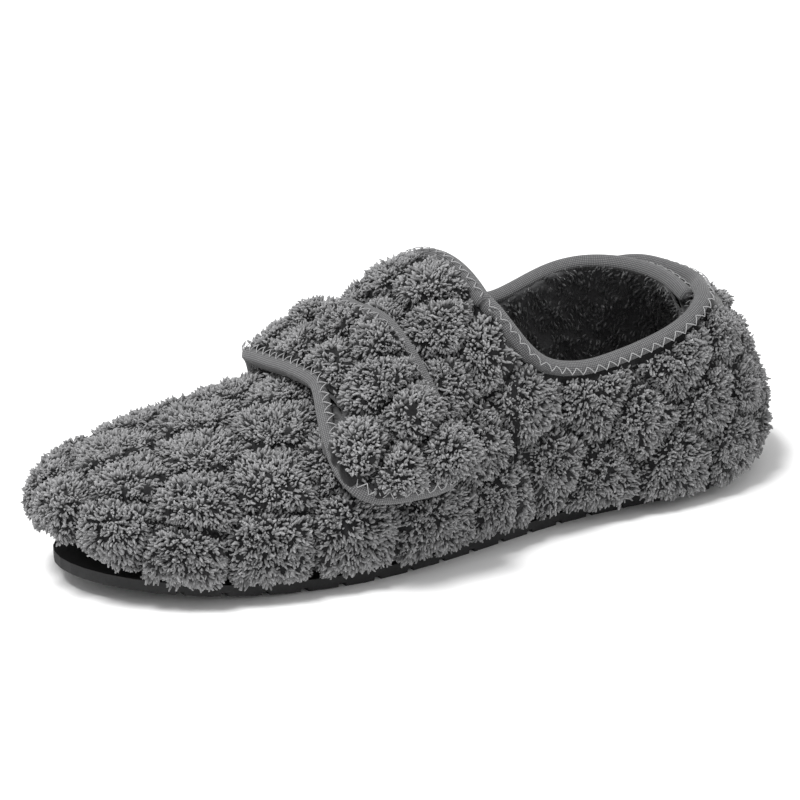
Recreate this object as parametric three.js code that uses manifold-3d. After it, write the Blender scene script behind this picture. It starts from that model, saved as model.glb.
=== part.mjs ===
// A left-foot fleece slipper with two hook-and-loop closings: a strap over the instep and a flap round the heel.
// Millimetres, +Z up. The toe points to -X and the heel to +X; the big-toe side is +Y and the outer side is -Y.
// The origin is on the floor, under the middle of the slipper.
import * as THREE from "three";
import { mergeVertices } from "three/addons/utils/BufferGeometryUtils.js";
import Module from "manifold-3d";

const wasm = await Module();
wasm.setup();

// ---------------------------------------------------------------------------------------------
// Driving dimensions
// ---------------------------------------------------------------------------------------------
const CAVITY_LENGTH = 260; // room for the foot, toe to heel
const TOE_HALF_WIDTH = 36;
const BALL_HALF_WIDTH = 43; // half the room at the ball of the foot
const WAIST_HALF_WIDTH = 36;
const HEEL_HALF_WIDTH = 29;
const TOE_SWING = 11; // the toe lies this far towards the big-toe side
const HEEL_SWING = 2; // and the heel this far towards the outer side
const TOE_CAP = 58; // length of the rounded toe
const HEEL_CAP = 34; // length of the rounded heel
const WIDEST_Z = 22; // the walls are widest at this height
const TOE_TOP_Z = 26; // height of the room over the toes
const INSTEP_TOP_Z = 88; // and at the throat
const ANKLE_TOP_Z = 108; // the closed form ends here; the collar is cut below it
const HEEL_TOP_Z = 130; // and here over the heel
const HEEL_LEAN = 0.5; // the back leans forward this much for each millimetre of height
const TOE_SPRING = 7; // the toe tip is lifted this far off the floor

const GAP = 0.3; // between layers that lie on each other
const LINING = 2; // plush lining
const FLEECE = 5.7; // outer fleece with its pile
const CRUSHED_FLEECE = 2; // outer fleece where a tape grips it
const UNDERFOOT = 0.4; // share of the lining and fleece that is left where the foot stands on them
const TAPE = 0.8; // edge tape
const TAPE_LEG = 5; // how far the tape reaches down each face
const PAD = 0.9; // a hook pad or a loop pad
const STRAP_BACKING = 1;
const STRAP_FLEECE = 5;

const OUTSOLE = 4;
const OUTSOLE_INSET = 1; // the outsole ends this far inside the foot's room
const HEEL_OVERHANG = 9; // but passes it at the heel, where the wall is double
const TREAD_DEPTH = 1.2;
const TREAD_WIDTH = 2.4;
const TREAD_PITCH = 13;
const LASTING_MARGIN = 14; // width of the turned-in margin that the sole is stuck to
const BOARD = 1.2; // stiff board inside the margin
const INSOLE_FOAM = 3.5;
const INSOLE_COVER = 2;

// Stations along the foot, as shares of the room's length from the toe (0) to the heel (1)
const STRAP_MIDDLE = 0.382; // over the instep
const THROAT = 0.565; // the throat edge of the vamp
const HINGE = 0.86; // the heel flap bends here, on the outer side
const INNER_END = 0.885; // the inner heel wall ends here, on the outer side
const FLAP_END = 0.8; // the heel flap ends here, on the big-toe side
const HOOK_PAD_END = 0.93; // the hook pad under the flap ends here

const THROAT_CORNER_DROP = 6; // the throat tape ends this far below the room's top at the throat
const COLLAR_LOW_Z = 59; // lowest point of the collar, under the outer ankle bone
const INNER_COLLAR_LOW_Z = 61; // and on the big-toe side
const COLLAR_BACK_Z = 74; // highest point of the collar behind the ankle
const HEEL_BACK_Z = 67; // the flap's top edge at the middle of the heel
const FLAP_END_Z = 56; // and at its free end
const STRAP_TIP_WIDTH = 53;
const STRAP_TOP_WIDTH = 28; // over the instep, measured along the floor
const STRAP_SEWN_WIDTH = 38;
const STRAP_TIP_SHIFT = -1.5; // the tip lies this far behind the strap's middle, so here a little in front of it
const STRAP_SEWN_SHIFT = 18; // and the sewn end this far behind it
const STRAP_TIP_Z = 33; // lowest point of the strap's round tip
const STRAP_TIP_RADIUS = 14;
const STRAP_SEWN_Z = 28; // lower edge of its sewn end, on the big-toe side
const STRAP_SEWN_STRAIGHT = 8; // its edges run straight up from there this far
const STRAP_BEND_Z = 44; // the strap bends here when it opens
const PAD_MARGIN = 7; // the pads stop this far inside the edges of the strap and the flap
const STRAP_RISE_START = 3; // the strap starts to rise over its pads this far from the middle
const STRAP_RISE_END = 15; // and is fully over them here
const HEEL_PAD_LOW_Z = 26;
const HEEL_PAD_TOP_Z = 48;

// ---------------------------------------------------------------------------------------------
// The room for the foot, as a surface that every layer follows
// ---------------------------------------------------------------------------------------------
const toeX = -CAVITY_LENGTH / 2;
const at = (share) => toeX + share * CAVITY_LENGTH;
const shareAt = (x) => (x - toeX) / CAVITY_LENGTH;

// A smooth curve through a few [position, value] pairs, read by position.
function smooth(points) {
  const slope = points.map((_, i) => {
    const a = points[Math.max(i - 1, 0)];
    const b = points[Math.min(i + 1, points.length - 1)];
    return (b[1] - a[1]) / (b[0] - a[0]);
  });
  return (p) => {
    if (p <= points[0][0]) return points[0][1];
    if (p >= points.at(-1)[0]) return points.at(-1)[1];
    const i = points.findIndex((q) => q[0] > p) - 1;
    const width = points[i + 1][0] - points[i][0];
    const t = (p - points[i][0]) / width;
    return (
      points[i][1] * (1 + 2 * t) * (1 - t) ** 2 +
      slope[i] * width * t * (1 - t) ** 2 +
      points[i + 1][1] * t * t * (3 - 2 * t) +
      slope[i + 1] * width * t * t * (t - 1)
    );
  };
}
const ramp = (low, high, p) => THREE.MathUtils.smoothstep(p, low, high);

const halfWidth = smooth([
  [0, TOE_HALF_WIDTH],
  [0.14, (TOE_HALF_WIDTH + BALL_HALF_WIDTH) / 2],
  [0.34, BALL_HALF_WIDTH],
  [0.6, WAIST_HALF_WIDTH],
  [0.82, HEEL_HALF_WIDTH],
  [1, HEEL_HALF_WIDTH],
]);
const middle = smooth([
  [0, TOE_SWING],
  [0.18, TOE_SWING * 0.6],
  [0.38, 0],
  [0.62, -HEEL_SWING],
  [1, -HEEL_SWING],
]);
const topZ = smooth([
  [0, TOE_TOP_Z],
  [0.15, TOE_TOP_Z + 11],
  [0.34, TOE_TOP_Z + 23],
  [0.43, INSTEP_TOP_Z - 26],
  [0.5, INSTEP_TOP_Z - 6],
  [THROAT, INSTEP_TOP_Z],
  [0.78, ANKLE_TOP_Z],
  [1, HEEL_TOP_Z],
]);
const spring = (x) => TOE_SPRING * Math.max(0, (at(0.36) - x) / (at(0.36) - toeX)) ** 2;

const BED_Z = OUTSOLE + GAP + (LINING + GAP + FLEECE) * UNDERFOOT;

// How round an end is closed: 1 along the foot, falling to 0 at the toe tip and the heel.
function endCap(x) {
  const toe = Math.max(0, 1 - (x - toeX) / TOE_CAP);
  const heel = Math.max(0, 1 - (at(1) - x) / HEEL_CAP);
  return Math.sqrt(Math.max(0, 1 - Math.max(toe, heel) ** 2));
}

// A point of the room's wall. along runs from the toe (0) to the heel (pi), round the section from the big-toe side.
function wall(along, round) {
  const x = toeX + (CAVITY_LENGTH * (1 - Math.cos(along))) / 2;
  const s = shareAt(x);
  const cap = endCap(x);
  const c = Math.cos(round);
  const r = Math.sin(round);
  const squareness = r > 0 ? 0.85 : 0.45;
  const rise = r > 0 ? topZ(s) - WIDEST_Z : WIDEST_Z - BED_Z;
  const height = cap * rise * Math.sign(r) * Math.abs(r) ** squareness;
  return new THREE.Vector3(
    x - HEEL_LEAN * Math.max(0, height) * ramp(0.75, 1, s),
    middle(s) + cap * halfWidth(s) * Math.sign(c) * Math.abs(c) ** squareness,
    WIDEST_Z + spring(x) + height,
  );
}

// The same point, moved out of the wall. Layers are thinner under the foot, and what is added fades out there.
function layerPoint(along, round, distance, added = 0) {
  const step = 1e-3;
  const alongWall = wall(along + step, round).sub(wall(along - step, round));
  const roundWall = wall(along, round + step).sub(wall(along, round - step));
  const out = alongWall.cross(roundWall).normalize().negate();
  const atTip = Math.sin(along) < 10 * step;
  if (atTip) out.set(along < 1 ? -1 : 1, 0, 0);
  const under = ramp(0.35, 0.95, -out.z);
  const full = distance * THREE.MathUtils.lerp(1, UNDERFOOT, under);
  return wall(along, round).addScaledVector(out, full + added * (1 - under));
}

// ---------------------------------------------------------------------------------------------
// Solids
// ---------------------------------------------------------------------------------------------
const ALONG_STEPS = 28;
const ROUND_STEPS = 22;
const CURVE_STEPS = 4;
const OUTLINE_STEPS = 56;

// The same surface with its shared corners merged and nothing but positions.
function merged(geometry) {
  const bare = geometry.index ? geometry.toNonIndexed() : geometry;
  const positions = new THREE.BufferGeometry().setAttribute("position", bare.getAttribute("position"));
  return mergeVertices(positions, 1e-4);
}

function solid(geometry) {
  const shared = merged(geometry);
  const corners = [...shared.index.array];
  const triangles = corners.filter((_, i) => {
    const [a, b, c] = corners.slice(i - (i % 3), i - (i % 3) + 3);
    return a !== b && b !== c && c !== a;
  });
  return new wasm.Manifold(
    new wasm.Mesh({
      numProp: 3,
      vertProperties: shared.attributes.position.array,
      triVerts: new Uint32Array(triangles),
    }),
  );
}

// The closed body inside the surface at a distance from the room's wall. added(x, y) widens it in places.
function body(distance, added = () => 0) {
  const ball = merged(new THREE.SphereGeometry(1, ROUND_STEPS, ALONG_STEPS).rotateZ(Math.PI / 2));
  const position = ball.getAttribute("position");
  const p = new THREE.Vector3();
  for (let i = 0; i < position.count; i++) {
    p.fromBufferAttribute(position, i);
    const along = Math.acos(THREE.MathUtils.clamp(-p.x, -1, 1));
    const round = Math.atan2(p.z, p.y);
    const base = wall(along, round);
    p.copy(layerPoint(along, round, distance, added(base.x, base.y)));
    position.setXYZ(i, p.x, p.y, p.z);
  }
  return solid(ball);
}
const layer = (from, to, added) => body(to, added).subtract(body(from, added));

// A block from one corner to the other.
function block(low, high) {
  const size = high.map((v, i) => v - low[i]);
  const centre = high.map((v, i) => (v + low[i]) / 2);
  return solid(new THREE.BoxGeometry(...size).translate(...centre));
}

const FAR = 400;
const OUTER = -1;
const INNER = 1;
const BOTH = 0;
const sideBlock = (x0, x1, side) =>
  block([x0, side === INNER ? 0 : -FAR, -FAR], [x1, side === OUTER ? 0 : FAR, FAR]);
const frontOf = (x, side = BOTH) => sideBlock(-FAR, x, side);
const behind = (x, side = BOTH) => sideBlock(x, FAR, side);
const under = (z) => block([-FAR, -FAR, -FAR], [FAR, FAR, z]);
const above = (z) => block([-FAR, -FAR, z], [FAR, FAR, FAR]);

// A shape drawn in side view (X to the heel, Z up), pushed through one side of the slipper or both.
function sideways(shape, side) {
  const depth = side === BOTH ? 2 * FAR : FAR;
  const geometry = new THREE.ExtrudeGeometry(shape, { depth, bevelEnabled: false, curveSegments: CURVE_STEPS });
  geometry.rotateX(Math.PI / 2); // the extrusion now runs to -Y
  return solid(geometry.translate(0, side === OUTER ? 0 : FAR, 0));
}

// Everything below a line drawn in side view, dropped by some distance.
function below(line, drop, side) {
  const points = line.map(([x, z]) => new THREE.Vector2(x, z - drop));
  const shape = new THREE.Shape();
  shape.moveTo(points[0].x, -FAR);
  shape.lineTo(points[0].x, points[0].y);
  shape.splineThru(points.slice(1));
  shape.lineTo(points.at(-1).x, -FAR);
  shape.closePath();
  return sideways(shape, side);
}

// A plate that follows the toe's lift, between two heights.
function plate(low, high) {
  const box = new THREE.BoxGeometry(FAR, FAR, high - low, 40, 1, 1).translate(0, 0, (low + high) / 2);
  const position = box.getAttribute("position");
  for (let i = 0; i < position.count; i++) {
    position.setZ(i, position.getZ(i) + spring(position.getX(i)));
  }
  return solid(box);
}

// The outline of the room seen from above, moved out by a distance that may change along the foot.
function fromAbove(out) {
  const points = [];
  for (let i = 0; i < OUTLINE_STEPS; i++) {
    const turn = (i / OUTLINE_STEPS) * 2 * Math.PI;
    const along = turn < Math.PI ? turn : 2 * Math.PI - turn;
    const round = turn < Math.PI ? 0 : Math.PI;
    const p = layerPoint(along, round, out(wall(along, round).x));
    points.push(new THREE.Vector2(p.x, p.y));
  }
  const geometry = new THREE.ExtrudeGeometry(new THREE.Shape(points), { depth: FAR, bevelEnabled: false });
  return solid(geometry.translate(0, 0, -FAR / 2));
}

// ---------------------------------------------------------------------------------------------
// Layers, counted outwards from the foot's room
// ---------------------------------------------------------------------------------------------
const FLEECE_IN = LINING + GAP;
const FLEECE_OUT = FLEECE_IN + FLEECE;
const LOOP_PAD_IN = FLEECE_OUT + GAP;
const LOOP_PAD_OUT = LOOP_PAD_IN + PAD;
const HOOK_PAD_IN = LOOP_PAD_OUT + GAP;
const HOOK_PAD_OUT = HOOK_PAD_IN + PAD;
const WRAP = HOOK_PAD_OUT + GAP; // the outer heel wall starts here, outside the inner one and the pads

// The outer wall swings out behind the ankle, to pass over the inner one.
function heelWrap(x, y) {
  const s = shareAt(x);
  const outerSide = ramp(THROAT + 0.03, HINGE - 0.01, s);
  const innerSide = ramp(THROAT, FLAP_END - 0.05, s);
  return WRAP * THREE.MathUtils.lerp(outerSide, innerSide, ramp(-8, 8, y - middle(s)));
}
// The strap rises over its pads on the outer side.
const strapRise = (x, y) =>
  (HOOK_PAD_OUT - FLEECE_OUT) * ramp(STRAP_RISE_START, STRAP_RISE_END, middle(shareAt(x)) - y);

const throatX = at(THROAT);
const bendX = at(HINGE);

// ---------------------------------------------------------------------------------------------
// Walls: lining, fleece and the tape over their edge
// ---------------------------------------------------------------------------------------------
// kept(drop) is the solid that the wall is trimmed to, drawn in by some distance.
function trimmedWall(region, kept, added) {
  const trim = (from, to, drop) => layer(from, to, added).intersect(region).intersect(kept(drop));
  const crushed = FLEECE_IN + CRUSHED_FLEECE;
  const tape = trim(-GAP - TAPE, crushed + GAP + TAPE, -TAPE)
    .subtract(kept(TAPE_LEG))
    .subtract(layer(-GAP, crushed + GAP, added).intersect(kept(0)));
  return {
    lining: trim(0, LINING, GAP),
    fleece: trim(FLEECE_IN, FLEECE_OUT, TAPE_LEG + GAP).add(trim(FLEECE_IN, crushed, GAP)),
    tape,
  };
}

// The middle of the bottom is left open: the walls end in a margin there, turned in under the foot.
const turnedIn = fromAbove(() => -LASTING_MARGIN).intersect(under(WIDEST_Z));

// ---------------------------------------------------------------------------------------------
// The assembly
// ---------------------------------------------------------------------------------------------
const finish = (colour, roughness) => new THREE.MeshStandardMaterial({ color: colour, roughness, metalness: 0 });
const fleeceFinish = () => finish("#6d6d6e", 0.95);
const liningFinish = () => finish("#4a4a4b", 0.95);
const tapeFinish = () => finish("#5f5f60", 0.85);
const padFinish = () => finish("#2b2b2c", 0.9);

const slipper = new THREE.Group();
function addPiece(name, made, material) {
  const mesh = made.getMesh();
  const geometry = new THREE.BufferGeometry();
  geometry.setAttribute("position", new THREE.BufferAttribute(mesh.vertProperties, 3));
  geometry.setIndex(new THREE.BufferAttribute(mesh.triVerts, 1));
  geometry.computeVertexNormals();
  const piece = new THREE.Mesh(geometry, material);
  piece.name = name;
  slipper.add(piece);
}
function addWall(name, wallSet) {
  addPiece(name + "_fleece", wallSet.fleece, fleeceFinish());
  addPiece(name + "_lining", wallSet.lining, liningFinish());
  addPiece(name + "_tape", wallSet.tape, tapeFinish());
}

// The vamp covers the toes and the instep, up to the throat.
function addVamp() {
  const cornerZ = INSTEP_TOP_Z - THROAT_CORNER_DROP;
  const low = frontOf(throatX - GAP).intersect(under(cornerZ));
  const kept = (drop) => frontOf(throatX - GAP - TAPE - drop).add(low);
  const region = frontOf(throatX - GAP).subtract(turnedIn);
  const vamp = trimmedWall(region, kept);
  vamp.tape = vamp.tape.intersect(above(cornerZ));
  addWall("vamp", vamp);
}

// The outer quarter joins the vamp to the heel flap, low under the ankle bone.
const heelBack = [
  [bendX + 22, HEEL_BACK_Z + 0.5],
  [bendX + 28, HEEL_BACK_Z],
  [at(1) + 20, HEEL_BACK_Z - 1],
  [at(1) + 60, HEEL_BACK_Z - 3],
];
const outerCollar = [
  [throatX - 10, INSTEP_TOP_Z + 17],
  [throatX, INSTEP_TOP_Z - 4],
  [throatX + 9, COLLAR_LOW_Z + 7],
  [throatX + 21, COLLAR_LOW_Z + 1],
  [throatX + 36, COLLAR_LOW_Z],
  [bendX - 18, COLLAR_LOW_Z + 5],
  [bendX - 4, COLLAR_BACK_Z - 4],
  [bendX + 7, COLLAR_BACK_Z],
  [bendX + 15, HEEL_BACK_Z + 4],
  ...heelBack,
];
function addOuterQuarter() {
  const region = sideBlock(throatX, bendX - GAP, OUTER).subtract(turnedIn);
  addWall("outer_quarter", trimmedWall(region, (drop) => below(outerCollar, drop, OUTER), heelWrap));
}

// The inner quarter runs on behind the heel, inside the flap, and ends on the outer side.
const innerCollar = [
  [throatX - 10, INSTEP_TOP_Z + 6],
  [throatX, INSTEP_TOP_Z - THROAT_CORNER_DROP],
  [throatX + 16, INNER_COLLAR_LOW_Z + 6],
  [throatX + 38, INNER_COLLAR_LOW_Z],
  [bendX - 28, INNER_COLLAR_LOW_Z + 3],
  [bendX + 5, COLLAR_BACK_Z - 3],
  [at(1) + 60, COLLAR_BACK_Z - 4],
];
function addInnerQuarter() {
  const region = behind(throatX, INNER).add(behind(at(INNER_END))).subtract(turnedIn);
  addWall("inner_quarter", trimmedWall(region, (drop) => below(innerCollar, drop, BOTH)));
}

// The heel flap wraps round the back, from the bend on the outer side to its free end on the big-toe side.
const flapTop = [
  [at(FLAP_END) - 20, FLAP_END_Z - 2],
  [at(FLAP_END), FLAP_END_Z],
  [bendX + 3, FLAP_END_Z + 3],
  [bendX + 13, HEEL_BACK_Z - 4],
  ...heelBack,
];
function addHeelFlap() {
  const region = behind(bendX, OUTER)
    .add(behind(at(FLAP_END), INNER))
    .intersect(above(OUTSOLE + GAP))
    .subtract(body(FLEECE_OUT + GAP));
  const kept = (drop) => below(outerCollar, drop, OUTER).add(below(flapTop, drop, INNER));
  addWall("heel_flap", trimmedWall(region, kept, heelWrap));
}

// A loop pad sits on the inner wall and a hook pad under the flap's free end.
function addHeelPads() {
  const loopArea = behind(at(FLAP_END) + PAD_MARGIN, INNER);
  const hookArea = sideBlock(at(FLAP_END) + PAD_MARGIN, at(HOOK_PAD_END), INNER);
  const heights = under(HEEL_PAD_TOP_Z).intersect(above(HEEL_PAD_LOW_Z));
  addPiece("heel_loop_pad", layer(LOOP_PAD_IN, LOOP_PAD_OUT).intersect(loopArea).intersect(heights), padFinish());
  addPiece("heel_hook_pad", layer(HOOK_PAD_IN, HOOK_PAD_OUT).intersect(hookArea).intersect(heights), padFinish());
}

// ---------------------------------------------------------------------------------------------
// Strap over the instep
// ---------------------------------------------------------------------------------------------
const vampTop = (x) => topZ(shareAt(x)) + FLEECE_OUT;

// The strap's two ends. flare is how soon the back edge spreads on its way down.
const TIP = {
  side: OUTER,
  shift: STRAP_TIP_SHIFT,
  width: STRAP_TIP_WIDTH,
  lowZ: STRAP_TIP_Z,
  corner: STRAP_TIP_RADIUS,
  straight: STRAP_TIP_RADIUS,
  flare: 0,
};
const SEWN = {
  side: INNER,
  shift: STRAP_SEWN_SHIFT,
  width: STRAP_SEWN_WIDTH,
  lowZ: STRAP_SEWN_Z,
  corner: 1,
  straight: STRAP_SEWN_STRAIGHT,
  flare: 0.5,
};
// The strap's outline in side view, drawn in by some distance, from the middle down to one of its ends.
function strapOutline(end, inset) {
  const topX = at(STRAP_MIDDLE);
  const topHalf = STRAP_TOP_WIDTH / 2 - inset;
  const topFront = topX - topHalf;
  const topBack = topX + topHalf;
  const half = end.width / 2 - inset;
  const lowFront = topX + end.shift - half;
  const lowBack = topX + end.shift + half;
  const low = end.lowZ + inset;
  const radius = Math.max(end.corner - inset, 1);
  const spreadX = THREE.MathUtils.lerp(topBack, lowBack, end.flare);
  const straightZ = end.lowZ + end.straight;
  const spreadZ = (vampTop(topBack) + straightZ) / 2;
  const shoulderZ = Math.min(vampTop(topFront), vampTop(lowFront));
  const shape = new THREE.Shape();
  shape.moveTo(topFront, FAR);
  shape.lineTo(topFront, vampTop(topFront));
  shape.quadraticCurveTo(lowFront, shoulderZ, lowFront, straightZ);
  shape.lineTo(lowFront, low + radius);
  shape.quadraticCurveTo(lowFront, low, lowFront + radius, low);
  shape.lineTo(lowBack - radius, low);
  shape.quadraticCurveTo(lowBack, low, lowBack, low + radius);
  shape.lineTo(lowBack, straightZ);
  shape.quadraticCurveTo(spreadX, spreadZ, topBack, vampTop(topBack));
  shape.lineTo(topBack, FAR);
  shape.closePath();
  return sideways(shape, end.side);
}
const strapTip = (inset) => strapOutline(TIP, inset);
const strapSewn = (inset) => strapOutline(SEWN, inset);

// kept(inset) is the strap's outline, drawn in by some distance.
function strapLayers(kept) {
  const start = FLEECE_OUT + GAP;
  const trim = (from, to, inset) => layer(from, to, strapRise).intersect(kept(inset));
  const backingOut = start + STRAP_BACKING;
  const fleeceIn = backingOut + GAP;
  const crushed = fleeceIn + CRUSHED_FLEECE;
  const edge = TAPE + GAP;
  return {
    backing: trim(start + edge, backingOut + edge, edge),
    fleece: trim(fleeceIn + edge, fleeceIn + edge + STRAP_FLEECE, edge + TAPE_LEG).add(
      trim(fleeceIn + edge, crushed + edge, edge),
    ),
    tape: trim(start, crushed + 2 * edge, 0)
      .subtract(kept(TAPE_LEG))
      .subtract(layer(start + TAPE, crushed + edge + GAP, strapRise).intersect(kept(TAPE))),
  };
}
function addStrap() {
  const moving = (inset) => strapTip(inset).add(strapSewn(inset).intersect(above(STRAP_BEND_Z)));
  const sewn = (inset) => strapSewn(inset).intersect(under(STRAP_BEND_Z - GAP));
  for (const [name, kept] of [["strap", moving], ["strap_sewn_end", sewn]]) {
    const made = strapLayers(kept);
    addPiece(name + "_backing", made.backing, liningFinish());
    addPiece(name + "_fleece", made.fleece, fleeceFinish());
    addPiece(name + "_tape", made.tape, tapeFinish());
  }
  const risen = block([-FAR, -FAR, -FAR], [FAR, -STRAP_RISE_END, FAR]);
  const area = strapTip(PAD_MARGIN).intersect(risen);
  addPiece("strap_loop_pad", layer(LOOP_PAD_IN, LOOP_PAD_OUT).intersect(area), padFinish());
  addPiece("strap_hook_pad", layer(HOOK_PAD_IN, HOOK_PAD_OUT).intersect(area), padFinish());
}

// ---------------------------------------------------------------------------------------------
// Sole and insole
// ---------------------------------------------------------------------------------------------
function addOutsole() {
  const reach = (x) => THREE.MathUtils.lerp(-OUTSOLE_INSET, HEEL_OVERHANG, ramp(0.62, 0.9, shareAt(x)));
  let outsole = fromAbove(reach).intersect(plate(0, OUTSOLE));
  for (let x = toeX + 2 * TREAD_PITCH; x < at(1); x += TREAD_PITCH) {
    const groove = block([x, -FAR, -FAR], [x + TREAD_WIDTH, FAR, FAR]).intersect(plate(-OUTSOLE, TREAD_DEPTH));
    outsole = outsole.subtract(groove);
  }
  addPiece("outsole", outsole, finish("#1c1c1d", 0.8));
}
// The insole lies on the lining; the hollow inside the turned-in margin holds a board and a foam filler.
function addInsole() {
  const marginTop = BED_Z - GAP;
  const opening = fromAbove(() => -LASTING_MARGIN - GAP);
  const boardTop = OUTSOLE + GAP + BOARD;
  addPiece("lasting_board", opening.intersect(plate(OUTSOLE + GAP, boardTop)), finish("#b9b3a6", 0.9));
  addPiece("filler_foam", opening.intersect(plate(boardTop + GAP, marginTop)), finish("#8a8a88", 0.9));
  const foamTop = BED_Z + INSOLE_FOAM;
  const room = body(-GAP);
  addPiece("insole_foam", room.intersect(plate(BED_Z, foamTop)), finish("#8a8a88", 0.9));
  const cover = room.intersect(plate(foamTop + GAP, foamTop + GAP + INSOLE_COVER));
  addPiece("insole_cover", cover, liningFinish());
}

addVamp();
addOuterQuarter();
addInnerQuarter();
addHeelFlap();
addHeelPads();
addStrap();
addOutsole();
addInsole();

const middleOfAll = new THREE.Box3().setFromObject(slipper).getCenter(new THREE.Vector3());
slipper.position.set(-middleOfAll.x, -middleOfAll.y, 0);

export default slipper;
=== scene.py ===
# %% [markdown]
# # A fleece slipper in Blender
# The real object is one left slipper, sewn from bubble fleece with a plush lining.
# Its edges are bound with woven tape. A strap closes over the instep and a flap wraps round the heel,
# both with hook and loop.
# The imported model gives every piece's place, and this file builds the looks on it, piece by piece.

import math

import bmesh
import bpy
import numpy as np
from mathutils import Matrix, Vector
from mathutils.bvhtree import BVHTree


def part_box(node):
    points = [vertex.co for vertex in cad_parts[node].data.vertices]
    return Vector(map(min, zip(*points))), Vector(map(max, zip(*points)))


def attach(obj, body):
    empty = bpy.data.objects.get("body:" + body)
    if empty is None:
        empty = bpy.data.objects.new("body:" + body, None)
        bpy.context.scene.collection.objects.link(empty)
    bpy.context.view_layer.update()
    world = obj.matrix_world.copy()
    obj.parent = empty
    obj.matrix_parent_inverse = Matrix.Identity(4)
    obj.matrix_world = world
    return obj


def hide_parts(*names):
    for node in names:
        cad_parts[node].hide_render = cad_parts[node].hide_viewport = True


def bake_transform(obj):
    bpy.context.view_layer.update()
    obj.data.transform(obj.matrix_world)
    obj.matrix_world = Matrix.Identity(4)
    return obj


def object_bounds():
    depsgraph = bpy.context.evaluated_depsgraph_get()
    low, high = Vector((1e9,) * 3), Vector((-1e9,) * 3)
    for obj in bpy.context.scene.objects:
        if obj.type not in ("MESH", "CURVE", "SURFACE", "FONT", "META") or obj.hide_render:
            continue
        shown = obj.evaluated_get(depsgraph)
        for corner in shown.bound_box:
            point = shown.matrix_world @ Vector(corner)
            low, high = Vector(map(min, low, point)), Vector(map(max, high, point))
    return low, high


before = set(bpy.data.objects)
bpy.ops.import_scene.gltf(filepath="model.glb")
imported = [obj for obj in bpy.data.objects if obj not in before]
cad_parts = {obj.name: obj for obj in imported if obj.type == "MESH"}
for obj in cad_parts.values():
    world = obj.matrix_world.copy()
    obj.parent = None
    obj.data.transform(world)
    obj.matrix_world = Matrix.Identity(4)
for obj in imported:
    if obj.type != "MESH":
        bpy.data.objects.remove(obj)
CAD_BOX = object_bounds()
LOW, HIGH = CAD_BOX
MM = 0.001
print("frame box, mm:", [round(v / MM, 1) for v in (HIGH - LOW)])

# %% [markdown]
# ## Camera
# A long lens from the outer side, a little in front and above, keeps the long shoe free of distortion.
# The camera's place is worked out from two angles round the middle of the shoe,
# so the view can be turned by changing one number.

# %% Camera
AZIMUTH = math.radians(-33)
ELEVATION = math.radians(21)
BACK = Vector((
    math.sin(AZIMUTH) * math.cos(ELEVATION),
    -math.cos(AZIMUTH) * math.cos(ELEVATION),
    math.sin(ELEVATION),
))
AIM = Vector((-8.3 * MM, 0.2 * MM, 44 * MM))
DISTANCE = 1.1
LENS = 144

lens = bpy.data.cameras.new("camera")
lens.lens = LENS
camera = bpy.data.objects.new("camera", lens)
bpy.context.scene.collection.objects.link(camera)
camera.location = AIM + BACK * DISTANCE
camera.rotation_mode = "QUATERNION"
camera.rotation_quaternion = (-BACK).to_track_quat("-Z", "Y")
bpy.context.scene.camera = camera
print("camera at", [round(v, 3) for v in camera.location])

# %% [markdown]
# ## Mesh helpers
# Every piece starts as a copy of solids in the frame, or from a bmesh primitive.
# Small functions wrap the few steps that all pieces share, so that each piece's own cell stays short.

# %% Mesh helpers
DOUBLED = 0.002 * MM  # corners closer than this are one corner


def add_object(name, mesh):
    """Link a mesh as a new object."""
    made = bpy.data.objects.new(name, mesh)
    bpy.context.scene.collection.objects.link(made)
    return made


def object_from(bm, name, smooth=True):
    """Turn a bmesh into an object."""
    mesh = bpy.data.meshes.new(name)
    bm.to_mesh(mesh)
    bm.free()
    for face in mesh.polygons:
        face.use_smooth = smooth
    return add_object(name, mesh)


def copy_of(name, *nodes):
    """One object that holds copies of some of the frame's solids, with their doubled corners merged."""
    bm = bmesh.new()
    for node in nodes:
        bm.from_mesh(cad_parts[node].data)
    bmesh.ops.remove_doubles(bm, verts=bm.verts, dist=DOUBLED)
    return object_from(bm, name)


def apply_modifiers(piece):
    """Make the result of the modifiers the piece's own mesh."""
    graph = bpy.context.evaluated_depsgraph_get()
    mesh = bpy.data.meshes.new_from_object(piece.evaluated_get(graph))
    piece.modifiers.clear()
    piece.data = mesh
    for face in mesh.polygons:
        face.use_smooth = True


def remesh(piece, voxel, smoothing=0):
    """Rebuild a solid from even small faces, then relax them so that the old flat facets go."""
    step = piece.modifiers.new("voxels", "REMESH")
    step.mode = "VOXEL"
    step.voxel_size = voxel
    apply_modifiers(piece)
    if smoothing:
        relax(piece, smoothing)


def relax(piece, times, factor=0.5):
    bm = bmesh.new()
    bm.from_mesh(piece.data)
    for _ in range(times):
        bmesh.ops.smooth_vert(bm, verts=bm.verts, factor=factor,
                              use_axis_x=True, use_axis_y=True, use_axis_z=True)
    bm.to_mesh(piece.data)
    bm.free()


def tree_of(piece):
    """A search tree over a piece's faces."""
    bm = bmesh.new()
    bm.from_mesh(piece.data)
    tree = BVHTree.FromBMesh(bm)
    bm.free()
    return tree


def places(piece):
    co = np.zeros(len(piece.data.vertices) * 3)
    piece.data.vertices.foreach_get("co", co)
    return co.reshape(-1, 3)


def normals(piece):
    turned = np.zeros(len(piece.data.vertices) * 3)
    piece.data.vertices.foreach_get("normal", turned)
    return turned.reshape(-1, 3)


def move_to(piece, co):
    piece.data.vertices.foreach_set("co", np.asarray(co).ravel())
    piece.data.update()


def write_value(piece, name, values):
    """Store one number for each corner of the mesh, for the material to read."""
    layer = piece.data.attributes.new(name, "FLOAT", "POINT")
    layer.data.foreach_set("value", np.asarray(values, np.float32))


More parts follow.
